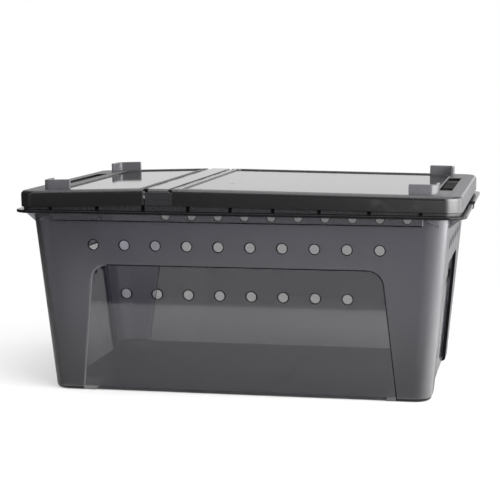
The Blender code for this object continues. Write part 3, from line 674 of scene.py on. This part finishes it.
def top_of_lug(edge):
    """Whether an edge runs through a lug at one of its top corners."""
    low, high = edge.verts[0].co, edge.verts[1].co
    return min(low.z, high.z) > LID_TOP + LUG_CORNER_RISE and abs(high.y - low.y) > HALF * edge.calc_length()


def fine_copy(node, wide=None):
    """The CAD node's mesh, merged and with its edges rounded, in place of the node."""
    copied = new_object(node + "_body", frame["nodes"][node].data.copy())
    copied.data.materials.clear()
    soften(copied, FINE_BEVEL, wide)
    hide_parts(node)
    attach(copied, frame["nodes"][node]["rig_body"])
    return copied


def make_pin(node):
    """A round pin along Y in place of the node.

    Its rows are circles of (cos, sin), and their radius falls off in a quarter round at each end.
    """
    low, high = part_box(node)
    middle = (low + high) / 2
    full = (high.z - low.z) / 2
    ends = rounding(PIN_EDGE)
    profile = [(full - inset, low.y + rise) for inset, rise in ends]
    profile += [(full - inset, high.y - rise) for inset, rise in reversed(ends)]
    rows = []
    for radius, y in profile:
        across, up = (radius * circle()).T
        rows.append(np.column_stack((middle.x + across, np.full(ROUND_SIDES, y), middle.z + up)))
    pin = new_object(node + "_body", closed_mesh(node + "_body", [rows]))
    pin.data.shade_smooth()
    pin.data.set_sharp_from_angle(angle=SHARP_ANGLE)
    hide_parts(node)
    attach(pin, frame["nodes"][node]["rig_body"])
    return pin


# Materials


class Wire:
    """An output socket of a node. Arithmetic on it adds Math nodes."""

    def __init__(self, looks, socket):
        self.looks = looks
        self.socket = socket

    def math(self, operation, first, second):
        return self.looks.node("Math", {"operation": operation}, {0: first, 1: second})

    def __add__(self, other):
        return self.math("ADD", self, other)

    def __sub__(self, other):
        return self.math("SUBTRACT", self, other)

    def __rsub__(self, other):
        return self.math("SUBTRACT", other, self)

    def __mul__(self, other):
        return self.math("MULTIPLY", self, other)

    def __truediv__(self, other):
        return self.math("DIVIDE", self, other)

    def __rtruediv__(self, other):
        return self.math("DIVIDE", other, self)

    __radd__ = __add__
    __rmul__ = __mul__

    def above(self, edge, width):
        """0 below the edge and 1 above it, smoothly over the width."""
        settings = {"interpolation_type": "SMOOTHSTEP"}
        values = {"Value": self, "From Min": edge - width / 2, "From Max": edge + width / 2}
        return self.looks.node("MapRange", settings, values)


class Looks:
    """The nodes of a material or of the world, under construction."""

    def __init__(self, owner):
        self.owner = owner
        self.owner.use_nodes = True
        self.tree = self.owner.node_tree
        self.tree.nodes.clear()

    def node(self, kind, settings=None, values=None, output=0):
        """Makes any node: its settings first, then the values or links of its sockets."""
        made = self.tree.nodes.new("ShaderNode" + kind)
        for key, setting in (settings or {}).items():
            setattr(made, key, setting)
        for key, value in (values or {}).items():
            if isinstance(value, Wire):
                self.tree.links.new(value.socket, made.inputs[key])
            else:
                made.inputs[key].default_value = value
        return Wire(self, made.outputs[output])

    def place(self):
        return self.node("TexCoord", output="Object")

    def noise(self, scale, detail, stretch=(1, 1, 1)):
        """Noise of the object's own coordinates, stretched along an axis where asked."""
        where = self.node("Mapping", None, {"Vector": self.place(), "Scale": stretch})
        return self.node("TexNoise", None, {"Vector": where, "Scale": scale, "Detail": detail})

    def mix(self, share, first, second):
        """A colour between two, by a share."""
        return self.node("Mix", {"data_type": "RGBA"}, {0: share, 6: first, 7: second}, output=2)

    def scale(self, colour, share):
        """A colour times a share."""
        return self.node("VectorMath", {"operation": "SCALE"}, {0: colour, "Scale": share})

    def bump(self, height, distance=1.0):
        """A bump from a height, in metres once it is multiplied by the distance."""
        return self.node("Bump", None, {"Height": height, "Distance": distance})

    def finish(self, shader, kind="OutputMaterial"):
        """Sends a shader to the surface and gives back the material or the world."""
        out = self.tree.nodes.new("ShaderNode" + kind)
        self.tree.links.new(shader.socket, out.inputs["Surface"])
        return self.owner


def grey(value, tint=PLASTIC_TINT):
    """A grey with its green and blue weighed against its red, as a colour socket takes it."""
    return (value, value * tint[0], value * tint[1], 1)


def new_looks(name):
    """The empty nodes of a new material."""
    return Looks(bpy.data.materials.new(name))


def dust(looks):
    """0 nearly everywhere and 1 on small specks, one in each of a share of the cells."""
    settings = {"feature": "F1"}
    values = {"Vector": looks.place(), "Scale": SPECK_SCALE}
    near = 1 - looks.node("TexVoronoi", settings, values).above(SPECK_SIZE, SPECK_SIZE)
    chosen = looks.node("TexVoronoi", settings, values, output=1)
    red = looks.node("SeparateColor", None, {0: chosen})
    return near * red.above(1 - SPECK_SHARE, SPECK_EDGE)


def into_corner(looks, side):
    """How far round a front corner of the tub a point lies, from each wall, as shares of the corner's radius."""
    x, y, z = (looks.node("SeparateXYZ", None, {0: looks.place()}, output=i) for i in range(3))
    radius = (BASE_CORNER + RIM_CORNER) / 2
    from_front = (side * x - END_LEAN * z - BASE_HALF_LENGTH + radius) / radius
    from_end = (-1 * y - SIDE_LEAN * z - BASE_HALF_DEPTH + radius) / radius
    return from_front, from_end


def smoke_plastic(
    name,
    tone,
    roughness,
    alpha=1.0,
    glow=0.0,
    gloss=0.5,
    grain=0.0,
    ripple=0.0,
    specks=0.0,
    mark=None,
    low_tone=1.0,
    tint=PLASTIC_TINT,
    corners=False,
):
    """Smoke-grey plastic: moulded grain, slow ripples, faint scuffs and dust.

    It shows what is behind it sharply by its alpha, or blurred where it glows through a frosted face. The grain and
    the ripple are heights in metres, and the low tone is the share of its colour that it keeps near the floor, a
    painted shade. With corners, painted shade darkens the left front corner's turn, and a glossier coat on the right
    front corner's turn catches the side lamp's highlight.
    """
    looks = new_looks(name)
    cloud = looks.noise(**CLOUD)
    grit = looks.noise(**GRIT)
    scuff = looks.noise(**SCUFF).above(*SCUFF_START)
    colour = looks.mix(cloud, grey(tone * (1 - CLOUD_TONE), tint), grey(tone * (1 + CLOUD_TONE), tint))
    # Painted shade: the colour darkens toward the floor
    if low_tone < 1:
        height = looks.node("SeparateXYZ", None, {0: looks.place()}, output=2)
        colour = looks.scale(colour, low_tone + (1 - low_tone) * height.above(FADE_MIDDLE, FADE_HEIGHT))
    if specks:
        colour = looks.mix(specks * dust(looks), colour, grey(SPECK_TONE, NEUTRAL))
    sheen = 0.0
    # Painted shade darkens the left front corner's turn; the right one's glossier coat takes the side lamp's
    # highlight
    if corners:
        from_front, from_end = into_corner(looks, 1)
        sheen = from_front.above(*SHEEN_FROM_FRONT) * from_end.above(*FROM_END)
        from_front, from_end = into_corner(looks, -1)
        shade = from_front.above(*SHADE_FROM_FRONT) * from_end.above(*FROM_END)
        colour = looks.scale(colour, 1 - SHADE_DEPTH * shade)
    rough = roughness + CLOUD_ROUGHNESS * (cloud - HALF) + min(SCUFF_ROUGHNESS, roughness / 2) * scuff
    height = ripple * looks.noise(**RIPPLE)
    if grain:
        height = height + grain * grit
        rough = rough + GRIT_ROUGHNESS * (grit - HALF)
    if mark:
        away = looks.node("VectorMath", {"operation": "DISTANCE"}, {0: looks.place(), 1: mark}, output=1)
        disc = 1 - away.above(MARK_RADIUS, MARK_EDGE)
        height = height + MARK_HEIGHT * disc
        colour = looks.mix(MARK_SHARE * disc, colour, grey(MARK_TONE))
        rough = rough + MARK_ROUGHNESS * disc
    values = {
        "Base Color": colour,
        "Roughness": rough,
        "IOR": PLASTIC_IOR,
        "Specular IOR Level": min(1.0, gloss / alpha),
        "Alpha": alpha,
        "Transmission Weight": glow,
        "Coat Weight": sheen,
        "Coat Roughness": SHEEN_ROUGHNESS,
        "Coat IOR": SHEEN_IOR,
        "Normal": looks.bump(height),
    }
    return looks.finish(looks.node("BsdfPrincipled", None, values))


def black_plastic():
    """The latches' dull black plastic, with a fine grain."""
    looks = new_looks("black_latch_plastic")
    grit = looks.noise(**GRIT)
    dark, light = (grey(tone) for tone in BLACK_TONES)
    values = {
        "Base Color": looks.mix(looks.noise(**BLACK_CLOUD), dark, light),
        "Roughness": BLACK_ROUGHNESS + BLACK_GRIT_ROUGHNESS * grit,
        "Specular IOR Level": BLACK_GLOSS,
        "Normal": looks.bump(grit, BLACK_GRAIN),
    }
    return looks.finish(looks.node("BsdfPrincipled", None, values))


def drawn_steel():
    """The pins' steel wire, drawn along Y."""
    looks = new_looks("drawn_pin_steel")
    lines = looks.noise(**STEEL_LINES)
    values = {
        "Base Color": looks.mix(lines, *STEEL_COLOURS),
        "Metallic": 1.0,
        "Roughness": STEEL_ROUGHNESS + STEEL_LINE_ROUGHNESS * lines,
        "Normal": looks.bump(lines, STEEL_LINE_HEIGHT),
    }
    return looks.finish(looks.node("BsdfPrincipled", None, values))


def near_a_hole(x, y, z):
    """Whether points lie at the edge of any vent, or in it."""
    reach = VENT_RADIUS + VENT_FLARE + MERGE
    found = np.zeros(len(z), bool)
    for height, side_count, end_count in (
        (UPPER_ROW, SIDE_UPPER_COUNT, END_UPPER_COUNT),
        (LOWER_ROW, SIDE_LOWER_COUNT, END_LOWER_COUNT),
    ):
        for across, count in ((x, side_count), (y, end_count)):
            along = across[:, None] - row_places(count)
            found |= (np.hypot(along, (z - height)[:, None]) < reach).any(axis=1)
    return found


def inside_window(across, z, window, border):
    """Whether wall points lie inside a window's outline, widened by a border."""
    lean = (window["bottom"] - window["top"]) / window["height"]
    corner = WINDOW_CORNER + border
    high = window["height"] + border
    reach = window["bottom"] - lean * z + border - np.abs(across)
    below = high - z
    in_corner = (reach < corner) & (below < corner)
    rounded = np.hypot(corner - reach, corner - below) < corner
    return (reach > 0) & (below > 0) & (~in_corner | rounded)


def paint(piece, materials, regions):
    """Gives faces the first material, and each region of them the next one in turn."""
    piece.data.materials.clear()
    for material in materials:
        piece.data.materials.append(material)
    index = np.zeros(len(piece.data.polygons), np.int32)
    for i, region in enumerate(regions, start=1):
        index[region] = i
    piece.data.polygons.foreach_set("material_index", index)


def wall_depths(centres):
    """How deep points lie below the long walls' outer faces, and below the end walls'."""
    x, y, z = centres.T
    return half_depth(z) - np.abs(y), half_length(z) - np.abs(x)


def window_regions(centres, normals):
    """The windows' clear faces, outside and in, and the rims round their recesses."""
    x, y, z = centres.T
    side_depth, end_depth = wall_depths(centres)
    clear = np.zeros(len(x), bool)
    edge = np.zeros(len(x), bool)
    for window, depth, across, facing in (
        (SIDE_WINDOW, side_depth, x, normals[:, 1]),
        (END_WINDOW, end_depth, y, normals[:, 0]),
    ):
        flat = np.abs(facing) > FLAT_FACING
        outer = flat & (np.abs(depth - window["recess"]) < PLANE_REACH)
        inner = flat & (np.abs(depth - window["recess"] - WALL) < TUB_BEVEL)
        clear |= outer & inside_window(across, z, window, 0)
        clear |= inner & inside_window(across, z, window, WINDOW_BORDER)
        rim = (depth > PLANE_REACH) & (depth < window["recess"]) & ~outer
        edge |= rim & inside_window(across, z, window, 2 * LIP_WIDTH)
    return clear, edge


def band_regions(centres, normals):
    """The clear front of the band under the flange, the edge along its foot, and its two ends."""
    x, y, z = centres.T
    side_depth, end_depth = wall_depths(centres)
    proud = side_depth < -ROOT / 2
    height = (z > FLANGE_BOTTOM - BAND_HEIGHT) & (z < FLANGE_BOTTOM)
    front = height & (x > BAND_LEFT) & (x < BAND_RIGHT)
    front &= (np.abs(normals[:, 1]) > WALL_FACING) & (side_depth < WALL + 2 * ROOT)
    # Painted shade along the band's foot, and a painted highlight on its two ends
    foot = (np.abs(z - FLANGE_BOTTOM + BAND_HEIGHT) < WIDEST_BEVEL) & proud
    ends = height & proud & (np.minimum(np.abs(x - BAND_LEFT), np.abs(x - BAND_RIGHT)) < 2 * TUB_BEVEL)
    return front, foot, ends


def paint_tub(tub):
    """Frosted walls, clear windows, a clear band under the flange, polished rims, and painted shade and highlights.
    """
    centres, normals = centres_and_normals(tub.data)
    x, y, z = centres.T
    side_depth, end_depth = wall_depths(centres)
    clear, window_edge = window_regions(centres, normals)
    band, band_foot, band_ends = band_regions(centres, normals)
    rim = z > FLANGE_BOTTOM - MERGE
    # Painted shade: the vents' flares and walls, the blind slits and the band's foot go near black
    vent = near_a_hole(x, y, z) & (np.abs(normals).max(axis=1) < FLAT_FACING)
    upstand = z > FLANGE_TOP + SLIT_STEP
    into_upstand = UPSTAND_HALF_DEPTH - np.abs(y)
    in_slit = upstand & (z < SLIT_TOP) & (np.abs(x) < UPSTAND_HALF_LENGTH - UPSTAND_CORNER)
    in_slit &= (np.abs(into_upstand - SLIT_DEPTH / 2) < SLIT_REACH) & (np.abs(into_upstand) > MERGE)
    # Painted highlight on the front and back windows' left rims; the other rims keep their painted shade
    left_window_highlight = window_edge & (x < SIDE_WINDOW_CORNER) & (side_depth < end_depth)
    materials = [smoke_plastic(name, **finish) for name, finish in TUB_FINISHES_AND_PAINTED_LIGHT.items()]
    regions = (
        clear,
        band & ~rim,
        window_edge,
        left_window_highlight | band_ends,
        rim | (z < BASE_EDGE),
        upstand,
        vent | in_slit | band_foot,
    )
    paint(tub, materials, regions)


def paint_flap(flap, node):
    """A glossy panel in satin rails, with translucent lugs, a polished skirt and a latch recess in painted shade.

    The regions are told apart on the flap turned level about its hinge line.
    """
    hinge = np.array(HINGES[node])
    turn = np.array(Matrix.Rotation(-SLOPES[node], 3, "Y"))
    centres, normals = centres_and_normals(flap.data)
    x, y, up = ((centres - hinge) @ turn.T + hinge).T
    outward = math.copysign(1, PANEL_ENDS[node]) * x
    past_panel = outward > abs(PANEL_ENDS[node]) + FINE_BEVEL
    lug = up > LID_TOP + FINE_BEVEL
    rail = (up > LID_TOP - PANEL_RECESS / 2) & (outward > PANEL_HINGE_GAP) & ~lug
    end_face = past_panel & (np.abs(normals[:, 0]) > END_FACING) & ~lug
    skirt = (up < SKIRT_START) | (past_panel & (up < LID_TOP - PANEL_RECESS) & (normals[:, 2] < HALF))
    # Painted shade: the latch recess in the end rail goes near black
    recess = past_panel & (outward < RECESS_OUTER) & (np.abs(y) < RECESS_HALF_LENGTH)
    recess &= (up < LID_TOP - FINE_BEVEL) & (up > SKIRT_START)
    panel = {"gloss": PANEL_GLOSS[node], "mark": MARK if node == "right_flap" else None}
    materials = []
    for part, finish in FLAP_FINISHES_AND_PAINTED_SHADE.items():
        extra = panel if part == "panel" else {}
        materials.append(smoke_plastic(node + "_" + part, **finish, **extra))
    paint(flap, materials, (rail | end_face, lug, skirt & ~end_face, recess))


def paint_bar(bar):
    """A glossy top and duller ends."""
    height = centres_and_normals(bar.data)[0][:, 2]
    materials = [smoke_plastic(name, **finish) for name, finish in BAR_FINISHES.items()]
    paint(bar, materials, (height < SKIRT_START,))


# The studio


def studio():
    """A world that is white to the camera, in reflections and through plastic, and softer as a light."""
    looks = Looks(bpy.data.worlds.new("studio"))
    seen = looks.node("LightPath", output="Is Camera Ray")
    for name in ("Is Glossy Ray", "Is Transmission Ray"):
        ray = looks.node("LightPath", output=name)
        seen = looks.node("Math", {"operation": "ADD", "use_clamp": True}, {0: seen, 1: ray})
    strength = looks.node("MapRange", None, {"Value": seen, "To Min": WORLD_LIGHT, "To Max": 1.0})
    background = looks.node("Background", None, {"Color": (1, 1, 1, 1), "Strength": strength})
    bpy.context.scene.world = looks.finish(background, "OutputWorld")


def lamp(name, place, target, size, power):
    """A soft rectangular lamp that faces its target."""
    light = bpy.data.lights.new(name, "AREA")
    light.shape = "RECTANGLE"
    light.size, light.size_y = size
    light.energy = power
    made = new_object(name, light)
    made.location = place
    made.rotation_euler = (Vector(target) - Vector(place)).to_track_quat("-Z", "Y").to_euler()
    made.visible_camera = False


def sheet_of(name, corners, material):
    """A flat sheet between four corners."""
    mesh = bpy.data.meshes.new(name)
    mesh.from_pydata(corners, [], [[0, 1, 2, 3]])
    mesh.materials.append(material)
    made = new_object(name, mesh)
    return made


def floor():
    """A pale floor that fades into the white world with the distance from its middle."""
    looks = new_looks("pale_floor")
    distance = looks.node("VectorMath", {"operation": "LENGTH"}, {0: looks.place()}, output=1)
    light, dark = (grey(tone, NEUTRAL) for tone in FLOOR_TONES)
    diffuse = looks.node("BsdfDiffuse", None, {"Color": looks.mix(looks.noise(**STUDIO_CLOUD), light, dark)})
    gone = looks.node("BsdfTransparent")
    share = FLOOR_CLEAR + (1 - FLOOR_CLEAR) * distance.above(*FLOOR_FADE)
    both = looks.node("MixShader", None, {0: share, 1: diffuse, 2: gone})
    sheet_of("floor", FLOOR_CORNERS, looks.finish(both))


def cards():
    """Dark cloth cards that only reflections see: one flat in front, one upright at its far end, one at the left."""
    looks = new_looks("dark_card")
    dark, light = (grey(tone) for tone in CARD_TONES)
    tone = looks.mix(looks.noise(**STUDIO_CLOUD), dark, light)
    cloth = looks.finish(looks.node("BsdfDiffuse", None, {"Color": tone}))
    for name, corners in CARDS.items():
        card = sheet_of(name, corners, cloth)
        card.visible_camera = False
        card.visible_diffuse = False
        card.visible_transmission = False
        card.visible_shadow = False


def camera():
    """The photograph's camera: turned left of +Y by the yaw, down by the pitch, and a little about its own view."""
    data = bpy.data.cameras.new("camera")
    data.sensor_width = SENSOR_WIDTH
    data.lens = CAMERA_FOCUS_SHARE * SENSOR_WIDTH
    data.clip_end = CAMERA_FAR
    made = new_object("camera", data)
    forward = Vector(
        (
            -math.sin(CAMERA_YAW) * math.cos(CAMERA_PITCH),
            math.cos(CAMERA_YAW) * math.cos(CAMERA_PITCH),
            -math.sin(CAMERA_PITCH),
        )
    )
    right = forward.cross(Vector((0, 0, 1))).normalized()
    up = right.cross(forward)
    turned_right = math.cos(CAMERA_ROLL) * right + math.sin(CAMERA_ROLL) * up
    turned_up = math.cos(CAMERA_ROLL) * up - math.sin(CAMERA_ROLL) * right
    turn = Matrix((turned_right, turned_up, -forward)).transposed()
    made.matrix_world = Matrix.Translation(CAMERA_PLACE) @ turn.to_4x4()
    bpy.context.scene.camera = made


def main():
    paint_tub(make_tub())
    for node in SLOPES:
        paint_flap(fine_copy(node, top_of_lug), node)
    paint_bar(fine_copy("hinge_bar"))
    black = black_plastic()
    steel = drawn_steel()
    for word in ("right", "left"):
        fine_copy(word + "_latch").data.materials.append(black)
        for kind in ("_hinge_pin", "_latch_pin"):
            make_pin(word + kind).data.materials.append(steel)
    studio()
    for name, setting in LAMPS.items():
        lamp(name, **setting)
    floor()
    cards()
    camera()
    bpy.context.scene.view_settings.view_transform = "Standard"


main()
